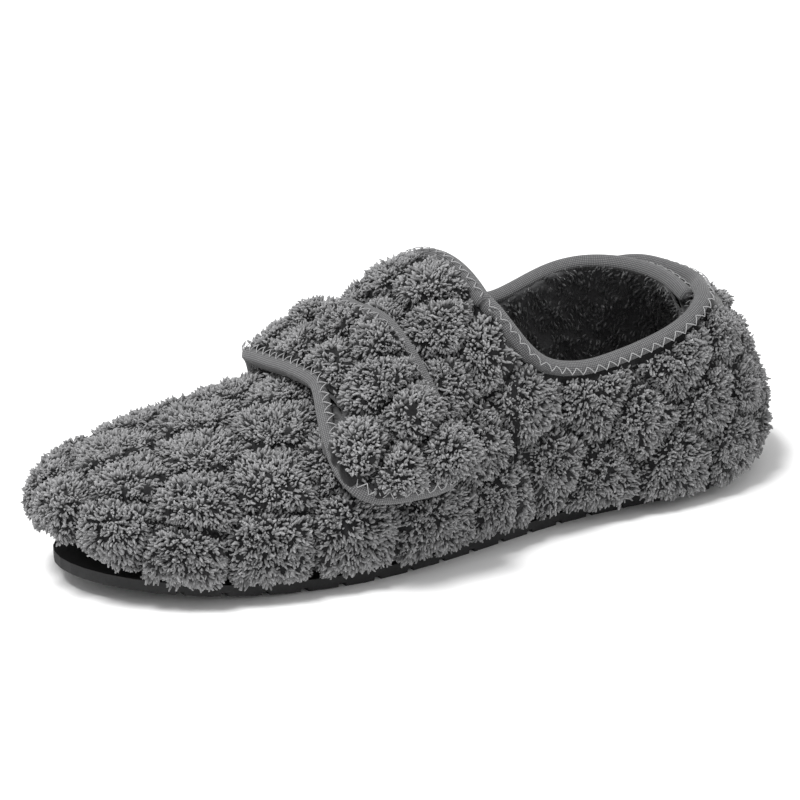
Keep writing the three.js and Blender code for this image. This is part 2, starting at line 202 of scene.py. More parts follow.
def ramp(low, high, value):
    """0 below low, 1 above high, with a soft step between."""
    share = np.clip((value - low) / (high - low), 0, 1)
    return share * share * (3 - 2 * share)


# %% [markdown]
# ## Copying a small shape
# A curl of pile or a stitch is a few faces, and the slipper has thousands of each.
# One shape is made once. Its corners are then turned, sized and moved to every spot, all copies in one step.
# A curl also stores how deep each of its corners lies in the pile, so its tip is drawn lighter than its root:
# the dark root is painted shade.

# %% Copying a small shape to many places
# painted shade: a curl's root is drawn darker than its tip, and TIP_LIGHT sets how much of that shade fades
# out by the tip
TIP_LIGHT = 1.05  # how much less deep a curl's tip lies than its root


def unit(directions):
    """Directions as one long each."""
    return directions / (np.linalg.norm(directions, axis=1)[:, None] + 1e-12)


def scatter(name, shapes, spots, ups, leans, lengths, widths, values=None):
    """Copy small meshes to many spots. A shape's Z goes to its spot's up, and its X to its lean."""
    side = unit(np.cross(ups, leans))
    lean = np.cross(side, ups)
    turn = np.stack([lean * widths[:, None], side * widths[:, None], ups * lengths[:, None]], axis=2)
    kinds = np.arange(len(spots)) % len(shapes)
    corners, faces, shares, count = [], [], [], 0
    for kind, shape in enumerate(shapes):
        own = np.array([v.co for v in shape.vertices])
        ring = np.array([list(p.vertices) for p in shape.polygons])
        chosen = np.nonzero(kinds == kind)[0]
        moved = np.einsum("nij,vj->nvi", turn[chosen], own) + spots[chosen][:, None, :]
        starts = count + np.arange(len(chosen)) * len(own)
        corners.append(moved.reshape(-1, 3))
        faces.append((ring[None] + starts[:, None, None]).reshape(-1, ring.shape[1]))
        # values[0] is the depth that sets the painted shade, darkest at the root; values[1] is a random tone
        if values is not None:
            tips = np.clip(own[:, 2], 0, 1)
            shares.append(np.stack([
                (values[0][chosen][:, None] - TIP_LIGHT * tips[None]).clip(0, 1).ravel(),
                np.repeat(values[1][chosen], len(own)),
            ]))
        count += len(own) * len(chosen)
    mesh = bpy.data.meshes.new(name)
    mesh.from_pydata(np.concatenate(corners), [], np.concatenate(faces))
    mesh.polygons.foreach_set("use_smooth", np.ones(len(mesh.polygons), bool))
    piece = add_object(name, mesh)
    if values is not None:
        stored = np.concatenate(shares, axis=1)
        write_value(piece, "depth", stored[0])
        write_value(piece, "shade", stored[1])
    return piece

# %% [markdown]
# ## Material helpers
# Colours are written as the hex values a maker would quote, and one function turns them linear.
# One more function adds a node with its settings and links, so a material reads as a list of its steps.

# %% Material helpers
def colour(code):
    """A hex colour as the linear values that shaders use."""
    parts = [int(code[i:i + 2], 16) / 255 for i in (1, 3, 5)]
    return (*[p / 12.92 if p <= 0.04045 else ((p + 0.055) / 1.055) ** 2.4 for p in parts], 1)


def add_node(tree, kind, settings=None, **inputs):
    """Add a node. Settings are its properties; an input is a number, a colour or another node's output."""
    made = tree.nodes.new(kind)
    for key, value in (settings or {}).items():
        setattr(made, key, value)
    for key, value in inputs.items():
        socket = made.inputs[int(key[1:])] if key[0] == "_" else made.inputs[key.replace("_", " ")]
        if isinstance(value, bpy.types.NodeSocket):
            tree.links.new(value, socket)
        else:
            socket.default_value = value
    return made


def new_material(name):
    """An empty material and its node tree."""
    made = bpy.data.materials.new(name)
    made.use_nodes = True
    made.node_tree.nodes.clear()
    return made, made.node_tree


def finish_material(tree, **inputs):
    """The surface shader and the output. Inputs are those of the Principled shader."""
    shader = add_node(tree, "ShaderNodeBsdfPrincipled", None, **inputs)
    add_node(tree, "ShaderNodeOutputMaterial", None, Surface=shader.outputs[0])


def paint(piece, material):
    piece.data.materials.clear()
    piece.data.materials.append(material)


PER_METRE = 1000  # a scale of PER_METRE / n repeats a pattern about every n millimetres

# %% [markdown]
# ## Fleece
# Bubble fleece is knitted polyester with a curly pile about 6 mm long, brushed and matt.
# Light sinks between the curls, so their roots look darker than their tips, and stray fibres give a sheen.
# The dark roots, the bare skin and the valleys between puffs are painted shade, drawn near-black in the
# colour.
# Two numbers are stored on the mesh: how deep a point lies in the pile, which sets this painted shade, and a
# random tone for each curl.

# %% Fleece material
def make_fleece():
    made, tree = new_material("polyester_bubble_fleece")
    place = add_node(tree, "ShaderNodeTexCoord").outputs["Object"]
    depth = add_node(tree, "ShaderNodeAttribute", {"attribute_name": "depth"}).outputs["Fac"]
    shade = add_node(tree, "ShaderNodeAttribute", {"attribute_name": "shade"}).outputs["Fac"]
    patches = add_node(tree, "ShaderNodeTexNoise", None, Vector=place, Scale=PER_METRE / 18, Detail=3.0)
    fibres = add_node(tree, "ShaderNodeTexNoise", None, Vector=place, Scale=PER_METRE / 0.7, Detail=4.0)
    mixed = add_node(tree, "ShaderNodeMix", {"data_type": "RGBA"}, _0=patches.outputs["Fac"],
                     _6=colour("#8f8f90"), _7=colour("#a3a3a4"))
    # painted shade: the deeper a point lies in the pile, the nearer its colour goes to the near-black #1c1c1d
    painted_root_shade = add_node(tree, "ShaderNodeMix", {"data_type": "RGBA"},
                    _0=depth, _6=mixed.outputs[2], _7=colour("#1c1c1d"))
    strength = add_node(tree, "ShaderNodeMapRange", None,
                        Value=fibres.outputs["Fac"], To_Min=0.7, To_Max=1.3)
    both = add_node(tree, "ShaderNodeMath", {"operation": "MULTIPLY"}, _0=strength.outputs[0], _1=shade)
    toned = add_node(tree, "ShaderNodeVectorMath", {"operation": "SCALE"},
                     _0=painted_root_shade.outputs[2], Scale=both.outputs[0])
    bump = add_node(tree, "ShaderNodeBump", None,
                    Height=fibres.outputs["Fac"], Strength=0.6, Distance=0.4 * MM)
    finish_material(tree, Base_Color=toned.outputs[0], Roughness=0.95, Specular_IOR_Level=0.15,
                    Normal=bump.outputs[0], Sheen_Weight=0.25, Sheen_Roughness=0.5)
    return made


FLEECE = make_fleece()
print("made", FLEECE.name)

# %% [markdown]
# ## Lining
# The lining is a short velvet-like plush with a dense pile. Its colour is drawn much darker, partly its own
# dense pile and partly painted shade, because it lies inside the shoe.
# Brushing leaves soft streaks in the pile; their lighter and darker bands, drawn here by a stretched noise,
# are painted sheen.

# %% Lining material
def make_lining():
    made, tree = new_material("short_pile_plush_lining")
    place = add_node(tree, "ShaderNodeTexCoord").outputs["Object"]
    brushed = add_node(tree, "ShaderNodeMapping", None, Vector=place, Scale=(1, 1, 0.35))
    sheen_streaks = add_node(tree, "ShaderNodeTexNoise", None,
                       Vector=brushed.outputs[0], Scale=PER_METRE / 9, Detail=5.0)
    pile = add_node(tree, "ShaderNodeTexNoise", None, Vector=place, Scale=PER_METRE / 0.8, Detail=3.0)
    # painted shade for the shoe's inside in both dark colours, and painted sheen in the brushed streaks
    # between them
    mixed = add_node(tree, "ShaderNodeMix", {"data_type": "RGBA"}, _0=sheen_streaks.outputs["Fac"],
                     _6=colour("#29292a"), _7=colour("#606061"))
    strength = add_node(tree, "ShaderNodeMapRange", None, Value=pile.outputs["Fac"], To_Min=0.6, To_Max=1.4)
    toned = add_node(tree, "ShaderNodeVectorMath", {"operation": "SCALE"}, _0=mixed.outputs[2],
                     Scale=strength.outputs[0])
    bump = add_node(tree, "ShaderNodeBump", None,
                    Height=pile.outputs["Fac"], Strength=0.8, Distance=0.5 * MM)
    finish_material(tree, Base_Color=toned.outputs[0], Roughness=0.9, Specular_IOR_Level=0.2,
                    Normal=bump.outputs[0], Sheen_Weight=0.4, Sheen_Roughness=0.4)
    return made


LINING = make_lining()
print("made", LINING.name)

# %% [markdown]
# ## Edge tape and thread
# The tape is a folded woven elastic: fine ribs run across it, crossed by the rows of its weave. The low
# places between its raised crossings are drawn darker, as painted shade.
# The real ribs are 0.5 mm apart; they are drawn 0.7 mm apart, so that they show.
# The thread is a glossy filament polyester, a few shades lighter than everything it sews.

# %% Edge tape and thread materials
RIB = 0.7
WAVE = 0.314  # the wave texture repeats about three times in one unit, so its scale is cut to a third


def make_tape():
    made, tree = new_material("woven_elastic_edge_tape")
    along = add_node(tree, "ShaderNodeUVMap", {"uv_map": "along"}).outputs[0]
    ribs = add_node(tree, "ShaderNodeTexWave", {"bands_direction": "X"}, Vector=along,
                    Scale=PER_METRE / RIB * WAVE, Distortion=0.6)
    rows = add_node(tree, "ShaderNodeTexWave", {"bands_direction": "Y"}, Vector=along,
                    Scale=PER_METRE / RIB * WAVE, Distortion=0.6)
    weave = add_node(tree, "ShaderNodeMath", {"operation": "MULTIPLY"},
                     _0=ribs.outputs["Fac"], _1=rows.outputs["Fac"])
    fuzz = add_node(tree, "ShaderNodeTexNoise", None, Vector=along, Scale=PER_METRE / 1.5, Detail=4.0)
    height = add_node(tree, "ShaderNodeMath", {"operation": "ADD"},
                      _0=weave.outputs[0], _1=fuzz.outputs["Fac"])
    # painted shade: the weave's low places, between its raised crossings, are drawn darker
    mixed = add_node(tree, "ShaderNodeMix", {"data_type": "RGBA"}, _0=weave.outputs[0],
                     _6=colour("#4a4a4b"), _7=colour("#8a8a8b"))
    strength = add_node(tree, "ShaderNodeMapRange", None, Value=fuzz.outputs["Fac"], To_Min=0.75, To_Max=1.25)
    toned = add_node(tree, "ShaderNodeVectorMath", {"operation": "SCALE"}, _0=mixed.outputs[2],
                     Scale=strength.outputs[0])
    bump = add_node(tree, "ShaderNodeBump", None,
                    Height=height.outputs[0], Strength=0.7, Distance=0.25 * MM)
    finish_material(tree, Base_Color=toned.outputs[0], Roughness=0.8, Specular_IOR_Level=0.3,
                    Normal=bump.outputs[0], Sheen_Weight=0.15)
    return made


def make_thread():
    made, tree = new_material("filament_polyester_thread")
    place = add_node(tree, "ShaderNodeTexCoord").outputs["Object"]
    twist = add_node(tree, "ShaderNodeTexNoise", None, Vector=place, Scale=PER_METRE / 0.5)
    mixed = add_node(tree, "ShaderNodeMix", {"data_type": "RGBA"}, _0=twist.outputs["Fac"],
                     _6=colour("#848485"), _7=colour("#b4b4b5"))
    finish_material(tree, Base_Color=mixed.outputs[2], Roughness=0.45, Specular_IOR_Level=0.5)
    return made


TAPE = make_tape()
THREAD = make_thread()
print("made", TAPE.name, "and", THREAD.name)

# %% [markdown]
# ## Rubber, board, foam and the hook and loop fabrics
# The outsole is black moulded rubber, matt from a fine spark-eroded mould. The board is pressed fibre.
# The foams are open-celled. The two closing fabrics are charcoal nylon, one brushed and one with hooks.

# %% Plain materials
def make_grained(name, dark, light, grain, roughness, depth):
    """A finish that is two close shades and a fine grain of a real size, in millimetres."""
    made, tree = new_material(name)
    place = add_node(tree, "ShaderNodeTexCoord").outputs["Object"]
    clouds = add_node(tree, "ShaderNodeTexNoise", None,
                      Vector=place, Scale=PER_METRE / (12 * grain), Detail=3.0)
    grains = add_node(tree, "ShaderNodeTexNoise", None, Vector=place, Scale=PER_METRE / grain, Detail=3.0)
    both = add_node(tree, "ShaderNodeMath", {"operation": "MULTIPLY"},
                    _0=clouds.outputs["Fac"], _1=grains.outputs["Fac"])
    spread = add_node(tree, "ShaderNodeMapRange", None, Value=both.outputs[0], From_Min=0.1, From_Max=0.4)
    mixed = add_node(tree, "ShaderNodeMix", {"data_type": "RGBA"}, _0=spread.outputs[0],
                     _6=colour(dark), _7=colour(light))
    bump = add_node(tree, "ShaderNodeBump", None,
                    Height=grains.outputs["Fac"], Strength=0.5, Distance=depth * MM)
    finish_material(tree, Base_Color=mixed.outputs[2], Roughness=roughness, Normal=bump.outputs[0])
    return made


RUBBER = make_grained("moulded_black_rubber", "#141415", "#262627", 0.6, 0.75, 0.1)
BOARD = make_grained("pressed_fibre_board", "#a59c8a", "#c4bba8", 1.2, 0.9, 0.1)
FOAM = make_grained("open_cell_foam", "#a8a69e", "#cfccc2", 0.8, 0.9, 0.3)
LOOP = make_grained("brushed_nylon_loop", "#262627", "#4a4a4b", 0.8, 0.85, 0.4)
HOOK = make_grained("woven_nylon_hook", "#1d1d1e", "#333334", 0.5, 0.6, 0.1)
print("made five plain materials")

# %% [markdown]
# ## Where the puffs lie
# The fleece is knitted in soft round puffs about 25 mm across, in staggered rows.
# A hexagon grid would tear on a curved shoe, so the puffs spread themselves: each new middle goes as far as
# it can from the others, and a few rounds of centring even them out. The result is nearly hexagonal.

# %% Puff middles
PUFF = 26 * MM
VALLEY_WIDTH = 4.0 * MM
ROUNDNESS = 2.3
FURTHEST_GAP = 0.8
WAVES = 8


def spread_middles(points, pitch, rounds=14):
    """Middles about a pitch apart, spread evenly over a cloud of surface points."""
    middles = [points[np.argmin(points[:, 0])]]
    nearest = np.linalg.norm(points - middles[0], axis=1)
    while nearest.max() > pitch * FURTHEST_GAP:
        middles.append(points[np.argmax(nearest)])
        nearest = np.minimum(nearest, np.linalg.norm(points - middles[-1], axis=1))
    middles = np.array(middles)
    for _ in range(rounds):
        owner = nearest_two(points, middles)[2]
        for i in range(len(middles)):
            if (owner == i).any():
                middles[i] = points[owner == i].mean(0)
    return middles


def nearest_two(points, middles):
    """For each point, its distance to the nearest and second nearest middle, and which is nearest."""
    first = np.full(len(points), 1e9)
    second = first.copy()
    owner = np.zeros(len(points), int)
    for i, middle in enumerate(middles):
        away = np.linalg.norm(points - middle, axis=1)
        second = np.where(away < first, first, np.minimum(second, away))
        owner = np.where(away < first, i, owner)
        first = np.minimum(first, away)
    return first, second, owner


def puff_height(points, middles):
    """0 in the valley between two puffs and 1 on top of one, and the puff each point belongs to."""
    first, second, owner = nearest_two(points, middles)
    into_puff = np.clip((second - first) / 2 / VALLEY_WIDTH, 0, 1)
    return 1 - (1 - into_puff) ** ROUNDNESS, owner


def waves(points, size, seed):
    """Smooth noise of a size in metres, mostly between -1 and 1, made of crossing waves."""
    luck = np.random.default_rng(seed)
    total = np.zeros(len(points))
    for _ in range(WAVES):
        heading = luck.normal(size=3)
        heading *= luck.uniform(0.7, 1.4) * 2 * math.pi / size / np.linalg.norm(heading)
        total += np.sin(points @ heading + luck.uniform(0, 2 * math.pi))
    return total / 2.5

# %% [markdown]
# ## Fleece skins
# Each fleece solid becomes a skin of small even faces, relaxed until the flat facets are gone.
# Only the outer face carries pile, found by its height over the lining below it; the rest stays as it is.
# There every point is moved along its normal, up on the puffs and down in the valleys.

# %% Fleece skins
SKIN_VOXEL = 1.5 * MM
PUFF_RISE = 3.5 * MM
VALLEY = 4.0 * MM
HEM = 15 * MM
HEM_DROP = 1.4 * MM
TOE_DROP = 6 * MM
TOE_END, TOE_START = LOW.x + 15 * MM, LOW.x + 70 * MM
COVER_REACH = 9 * MM  # a piece further away than this doesn't press the pile
START_BELOW = 1.5 * MM

sole = copy_of("sole_probe", "outsole")
sole_places = places(sole)
sole_steps = np.linspace(sole_places[:, 0].min(), sole_places[:, 0].max(), 40)
SOLE_TREE = tree_of(sole)
SOLE_LOW = []
for x in sole_steps:
    below_sole = Vector((np.clip(x, sole_steps[1], sole_steps[-2]), 3 * MM, -1))
    hit = SOLE_TREE.ray_cast(below_sole, Vector((0, 0, 1)))[0]
    SOLE_LOW.append(hit.z)
bpy.data.objects.remove(sole)


def over_sole(points):
    """How high points stand over the underside of the sole, which rises towards the toe."""
    return points[:, 2] - np.interp(points[:, 0], sole_steps, SOLE_LOW)


def evened(piece, values, rounds=6):
    """Spread the values of a mesh's corners over their neighbours."""
    ends = np.zeros(len(piece.data.edges) * 2, int)
    piece.data.edges.foreach_get("vertices", ends)
    one, two = ends.reshape(-1, 2).T
    count = np.bincount(ends, minlength=len(values)) + 1
    for _ in range(rounds):
        total = values.copy()
        np.add.at(total, one, values[two])
        np.add.at(total, two, values[one])
        values = total / count
    return values


def cut_before(piece, x):
    """Take away what lies before a place along the shoe."""
    bm = bmesh.new()
    bm.from_mesh(piece.data)
    geometry = bm.verts[:] + bm.edges[:] + bm.faces[:]
    bmesh.ops.bisect_plane(bm, geom=geometry, plane_co=(x, 0, 0), plane_no=(1, 0, 0), clear_inner=True)
    bm.to_mesh(piece.data)
    bm.free()


def make_skin(name, nodes, under, voxel=SKIN_VOXEL, smoothing=14, cover=(2.6 * MM, 4.6 * MM),
              start=None):
    """The relaxed skin of some fleece solids, and how far each point stands over the layer below."""
    skin = copy_of(name, *nodes)
    remesh(skin, voxel, smoothing)
    if start is not None:
        cut_before(skin, start)
    below = copy_of(name + "_below", *under)
    tree = tree_of(below)
    above = np.array([tree.find_nearest(Vector(p))[3] for p in places(skin)])
    bpy.data.objects.remove(below)
    return skin, ramp(*cover, above)


def room_over(spots, ways, cover, reach):
    """How far each spot can go its way before it meets a piece that lies over it."""
    found = np.full(len(spots), reach)
    if cover is not None:
        for i, (spot, way) in enumerate(zip(spots, ways)):
            hit = cover.ray_cast(Vector(spot), Vector(way), reach)[3]
            if hit is not None:
                found[i] = hit
    return found


def puff_up(skin, pile, middles, cover=None, rise=PUFF_RISE, valley=VALLEY):
    """Raise the puffs and sink the valleys of a skin, but press it flat under a piece that covers it."""
    co = places(skin)
    height, owner = puff_height(co, middles)
    own = 0.85 + 0.3 * np.random.default_rng(3).random(len(middles))
    hem = 1 - ramp(5 * MM, HEM, over_sole(co))
    down = Vector((0, 0, -1))
    outside = np.array([
        hem[i] > 0 and SOLE_TREE.ray_cast(Vector(co[i]), down)[0] is None
        for i in range(len(co))
    ], float)
    drop = evened(skin, hem * outside, 5)
    sink = valley * (1 - 0.6 * hem)
    move = pile * (rise * height * own[owner] - sink + 0.5 * MM * waves(co, 7 * MM, 5))
    facing = normals(skin)
    room = room_over(co - facing * START_BELOW, facing, cover, COVER_REACH) - 2 * MM
    moved = co + facing * np.minimum(move, room)[:, None]
    lower = TOE_DROP + (HEM_DROP - TOE_DROP) * ramp(TOE_END, TOE_START, co[:, 0])
    moved[:, 2] = np.maximum(moved[:, 2] - lower * drop, np.minimum(co[:, 2], LOW.z + 1.5 * MM))
    move_to(skin, moved)
    # painted shade: a depth of 1 or more draws the skin near-black, as the shade under the curls
    write_value(skin, "depth", 1.5 - 0.5 * height)
    write_value(skin, "shade", np.ones(len(co)))
    paint(skin, FLEECE)
    print(skin.name, len(skin.data.polygons), "faces")


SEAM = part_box("outer_quarter_fleece")[0].x
SEAM_LAP = 5 * MM
upper, upper_pile = make_skin(
    "vamp_and_inner_quarter_fleece_skin",
    ["vamp_fleece", "inner_quarter_fleece"], ["vamp_lining", "inner_quarter_lining"],
)
outer, outer_pile = make_skin(
    "outer_quarter_and_flap_fleece_skin",
    ["vamp_fleece", "outer_quarter_fleece", "heel_flap_fleece"],
    ["vamp_lining", "outer_quarter_lining", "heel_flap_lining"],
    start=SEAM - SEAM_LAP,
)
strap, strap_pile = make_skin(
    "strap_fleece_skin",
    ["strap_fleece", "strap_sewn_end_fleece"], ["strap_backing", "strap_sewn_end_backing"],
    voxel=1.1 * MM, smoothing=20, cover=(1.2 * MM, 2.4 * MM),
)
BODY_SKINS = [(upper, upper_pile), (outer, outer_pile)]
FACING = {}
for skin, pile in BODY_SKINS + [(strap, strap_pile)]:
    FACING[skin.name] = (places(skin)[pile > 0.9], normals(skin)[pile > 0.9])

# %% [markdown]
# ## Puffs on the skins
# The two skins of the shoe's body share one set of puff middles, so the rows run on over the side seam.
# The strap is cut from the same fleece but has its own set, because it lies over the body.
# Fleece is pressed flat under the strap and the flap, so those pieces set a limit to how far it rises.

# %% Puffs on the skins
STRAP_PUFF = 23 * MM
STRAP_RISE = 5.0 * MM
STRAP_VALLEY = 2.6 * MM
body_cloud = np.concatenate([FACING[skin.name][0] for skin, _ in BODY_SKINS])
BODY_MIDDLES = spread_middles(body_cloud[::5], PUFF)
STRAP_MIDDLES = spread_middles(FACING[strap.name][0][::3], STRAP_PUFF)


def cover_of(*nodes):
    """A search tree over the pieces that lie over a skin."""
    over = copy_of("cover_probe", *nodes)
    tree = tree_of(over)
    bpy.data.objects.remove(over)
    return tree


UPPER_COVER = cover_of(
    "strap_backing", "strap_tape", "strap_loop_pad", "strap_sewn_end_backing", "strap_sewn_end_tape",
    "heel_flap_lining", "heel_flap_fleece", "heel_flap_tape", "heel_loop_pad",
)
puff_up(upper, upper_pile, BODY_MIDDLES, UPPER_COVER)
puff_up(outer, outer_pile, BODY_MIDDLES)
puff_up(strap, strap_pile, STRAP_MIDDLES, rise=STRAP_RISE, valley=STRAP_VALLEY)
print(len(BODY_MIDDLES), "puffs on the shoe's body and", len(STRAP_MIDDLES), "on the strap")

# %% [markdown]
# ## Edge tapes
# A woven elastic tape is folded over every free edge, of the collar, the throat and the strap.
# Its line is found first: the solid tape in the frame gives the edge, measured step by step and evened out.
# The frames along the line say which way is out of the cloth and which way is its free edge.

# %% Finding an edge line
def samples_of(nodes, per_mm2=6):
    """Even random points on the faces of some of the frame's solids."""
    luck = np.random.default_rng(1)
    bm = bmesh.new()
    for node in nodes:
        bm.from_mesh(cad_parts[node].data)
    bmesh.ops.triangulate(bm, faces=bm.faces)
    found = []
    for face in bm.faces:
        a, b, c = [np.array(vert.co) for vert in face.verts]
        share = luck.random((int(face.calc_area() / MM ** 2 * per_mm2) + 1, 2))
        root = np.sqrt(share[:, :1])
        found.append(a * (1 - root) + b * root * (1 - share[:, 1:]) + c * root * share[:, 1:])
    bm.free()
    return np.concatenate(found)


def distance_along(line):
    """How far each point of a line lies from its start, walking along it."""
    return np.concatenate([[0], np.cumsum(np.linalg.norm(np.diff(line, axis=0), axis=1))])


def edge_line(points, keys, values, bins, depth=1.2 * MM):
    """Walk along the keys, and at each step take the middle of the points with the largest values."""
    edges = np.linspace(keys.min(), keys.max(), bins + 1)
    line = []
    for low, high in zip(edges[:-1], edges[1:]):
        here = (keys >= low) & (keys < high)
        if here.sum() >= 3:
            top = values[here] > values[here].max() - depth
            line.append(points[here][top].mean(0))
    return np.array(line)


def even_out(line, step=1.0 * MM, rounds=30, closed=False):
    """Smooth a line and space its points evenly."""
    for _ in range(rounds):
        before = np.roll(line, 1, 0)
        after = np.roll(line, -1, 0)
        moved = (before + after + 2 * line) / 4
        if not closed:
            moved[[0, -1]] = line[[0, -1]]
        line = moved
    if closed:
        line = np.concatenate([line, line[:1]])
    length = distance_along(line)
    count = int(length[-1] / step) + 1
    at = np.linspace(0, length[-1], count)
    return np.stack([np.interp(at, length, line[:, k]) for k in range(3)], axis=1)


def frames_along(line, cloud, inward, closed=False):
    """The directions out of the cloth and to its free edge, along a line. inward is a place in the cloth."""
    spots, facing = cloud
    outs = []
    for point in line:
        near = np.argsort(((spots - point) ** 2).sum(1))[:25]
        outs.append(facing[near].mean(0))
    outs = np.array(outs)
    for _ in range(12):
        if closed:
            outs = (np.roll(outs, 1, 0) + outs + np.roll(outs, -1, 0)) / 3
        else:
            outs = np.concatenate([outs[:1], (outs[:-2] + outs[1:-1] + outs[2:]) / 3, outs[-1:]])
    heading = np.gradient(line, axis=0)
    ups = unit(np.cross(unit(heading), unit(outs)))
    ups *= np.sign((ups * (line - inward)).sum(1).mean())
    return unit(np.cross(ups, unit(heading)) * np.sign((np.cross(ups, heading) * outs).sum(1))[:, None]), ups

# %% [markdown]
# ## The tape's section
# Folded tape is a rounded flat band. Its section is a grid bent into a tube along the edge line,
# and the tube's own map carries its length along U, so the ribs of the weave turn with the tape.

# %% Pulling a section along a line
SQUARENESS = 0.65
END_ROUNDING = 2.2 * MM


def section(thick, wide, count=16):
    """A rounded flat section, its two half sizes given; its first direction is out of the cloth."""
    angles = np.linspace(0, 2 * math.pi, count, endpoint=False)
    flat = np.stack([np.cos(angles), np.sin(angles)], axis=1)
    return np.sign(flat) * np.abs(flat) ** SQUARENESS * (thick, wide)


def sweep(name, line, outs, ups, profile, closed=False):
    """Pull a closed section along a line, with rounded ends unless the line is closed."""
    steps, around = len(line), len(profile)
    length = distance_along(line)
    ring = np.concatenate([profile, profile[:1]])
    girth = distance_along(ring)
    ends = np.ones(steps)
    if not closed:
        near_end = np.minimum(length, length[-1] - length) / END_ROUNDING
        ends = np.sqrt(1 - (1 - np.clip(near_end, 0, 1)) ** 2) * 0.93 + 0.07
    bm = bmesh.new()
    bmesh.ops.create_grid(bm, x_segments=steps - 1, y_segments=around, size=0.5)
    layer = bm.loops.layers.uv.new("along")
    spots = {
        vert: (round((vert.co.x + 0.5) * (steps - 1)), round((vert.co.y + 0.5) * around))
        for vert in bm.verts
    }
    for face in bm.faces:
        for loop in face.loops:
            i, k = spots[loop.vert]
            loop[layer].uv = (length[i], girth[k])
    for vert, (i, k) in spots.items():
        across, high = ring[k] * ends[i]
        vert.co = Vector(line[i] + outs[i] * across + ups[i] * high)
    bmesh.ops.remove_doubles(bm, verts=bm.verts, dist=0.001 * MM)
    if not closed:
        bmesh.ops.holes_fill(bm, edges=bm.edges, sides=0)
    bmesh.ops.recalc_face_normals(bm, faces=bm.faces)
    made = object_from(bm, name)
    paint(made, TAPE)
    print(name, len(made.data.polygons), "faces,", round(length[-1] / MM), "mm long")
    return made

# %% [markdown]
# ## Stitches
# Each tape is held by a zigzag of pale thread, worked through the tape's inner edge.
# One stitch is a thin bowed rod, and it is copied from corner to corner of the zigzag.

# %% Stitches
THREAD_WIDTH = 0.34 * MM
ZIGZAG_PITCH = 2.2 * MM
THREAD_END = 1.5 * MM
STITCH_PARTS = 5


def cut_across(bm, height):
    """Add a ring of corners to an upright shape."""
    geometry = bm.verts[:] + bm.edges[:] + bm.faces[:]
    bmesh.ops.bisect_plane(bm, geom=geometry, plane_co=(0, 0, height), plane_no=(0, 0, 1))


def make_stitch():
    """One stitch, one long, a thin round thread that bows up in the middle."""
    bm = bmesh.new()
    bmesh.ops.create_cone(bm, cap_ends=True, cap_tris=False, segments=5, radius1=0.5, radius2=0.5, depth=1,
                          matrix=Matrix.Translation((0, 0, 0.5)))
    for i in range(1, STITCH_PARTS):
        cut_across(bm, i / STITCH_PARTS)
    for vert in bm.verts:
        vert.co.x += 1.6 * math.sin(vert.co.z * math.pi) - 0.8
    bmesh.ops.triangulate(bm, faces=bm.faces)
    mesh = bpy.data.meshes.new("stitch")
    bm.to_mesh(mesh)
    bm.free()
    return mesh


STITCH = make_stitch()


def zigzag(name, line, outs, ups, out, near, far, pitch=ZIGZAG_PITCH):
    """Zigzag stitches along a line, between two distances from the edge and a height out of the cloth."""
    length = distance_along(line)
    count = int(length[-1] / pitch)
    at = np.linspace(THREAD_END, length[-1] - THREAD_END, count)
    middle = np.stack([np.interp(at, length, line[:, k]) for k in range(3)], axis=1)
    facing = unit(np.stack([np.interp(at, length, outs[:, k]) for k in range(3)], axis=1))
    edge = unit(np.stack([np.interp(at, length, ups[:, k]) for k in range(3)], axis=1))
    depth = np.where(np.arange(count) % 2, near, far)
    corners = middle + facing * out - edge * depth[:, None]
    ways = np.diff(corners, axis=0)
    lengths = np.linalg.norm(ways, axis=1)
    made = scatter(name, [STITCH], corners[:-1], ways / lengths[:, None], facing[:-1], lengths,
                   np.full(len(ways), THREAD_WIDTH))
    paint(made, THREAD)
    print(name, len(ways), "stitches")
    return made

# %% [markdown]
# ## Collar and throat tapes
# The outer collar and the heel flap are bound by one long tape, and the inner collar by its own.
# Their edge is the highest line of the solid tape, found step by step round the ankle.
# The throat's edge is found across the shoe instead, where the cloth ends furthest back.

# %% Collar and throat tapes
COLLAR_SECTION = section(2.75 * MM, 2.6 * MM)
COLLAR_DROP = 2.2 * MM  # from the free edge to the middle of the tape
COLLAR_STITCHES = {"out": 2.9 * MM, "near": 2.8 * MM, "far": 5.4 * MM}
INTO_CLOTH = 20 * MM
ANKLE = Vector((50 * MM, 0, 0))


def collar_tape(name, nodes, skin, bins, keys, values, inward=(0, 0, -1)):
    points = samples_of(nodes)
    line = even_out(edge_line(points, keys(points), values(points), bins), rounds=40)
    inward = line + np.array(inward) * INTO_CLOTH
    outs, ups = frames_along(line, FACING[skin.name], inward)
    middle = line - ups * COLLAR_DROP
    tape = sweep(name, middle, outs, ups, COLLAR_SECTION)
    thread = zigzag(name.replace("tape", "stitches"), line, outs, ups, **COLLAR_STITCHES)
    return tape, thread, line


def round_ankle(points):
    """How far round the ankle's opening a point is, as an angle that has its jump on the toe side."""
    return np.arctan2(points[:, 1] - ANKLE.y, points[:, 0] - ANKLE.x)


outer_tape, outer_thread, outer_line = collar_tape(
    "outer_collar_tape", ["outer_quarter_tape", "heel_flap_tape"], outer, 220, round_ankle, lambda p: p[:, 2])
inner_tape, inner_thread, inner_line = collar_tape(
    "inner_collar_tape", ["inner_quarter_tape"], upper, 110, round_ankle, lambda p: p[:, 2])
vamp_tape, vamp_thread, vamp_line = collar_tape(
    "throat_tape", ["vamp_tape"], upper, 40, lambda p: p[:, 1], lambda p: p[:, 0] + 0.3 * p[:, 2],
    inward=(-1, 0, 0))

# %% [markdown]
# ## Strap tape
# One tape runs all round the strap. To walk round its edge, the strap is first laid out flat:
# the angle over the shoe becomes a length. The outline is then followed by its angle round the middle.

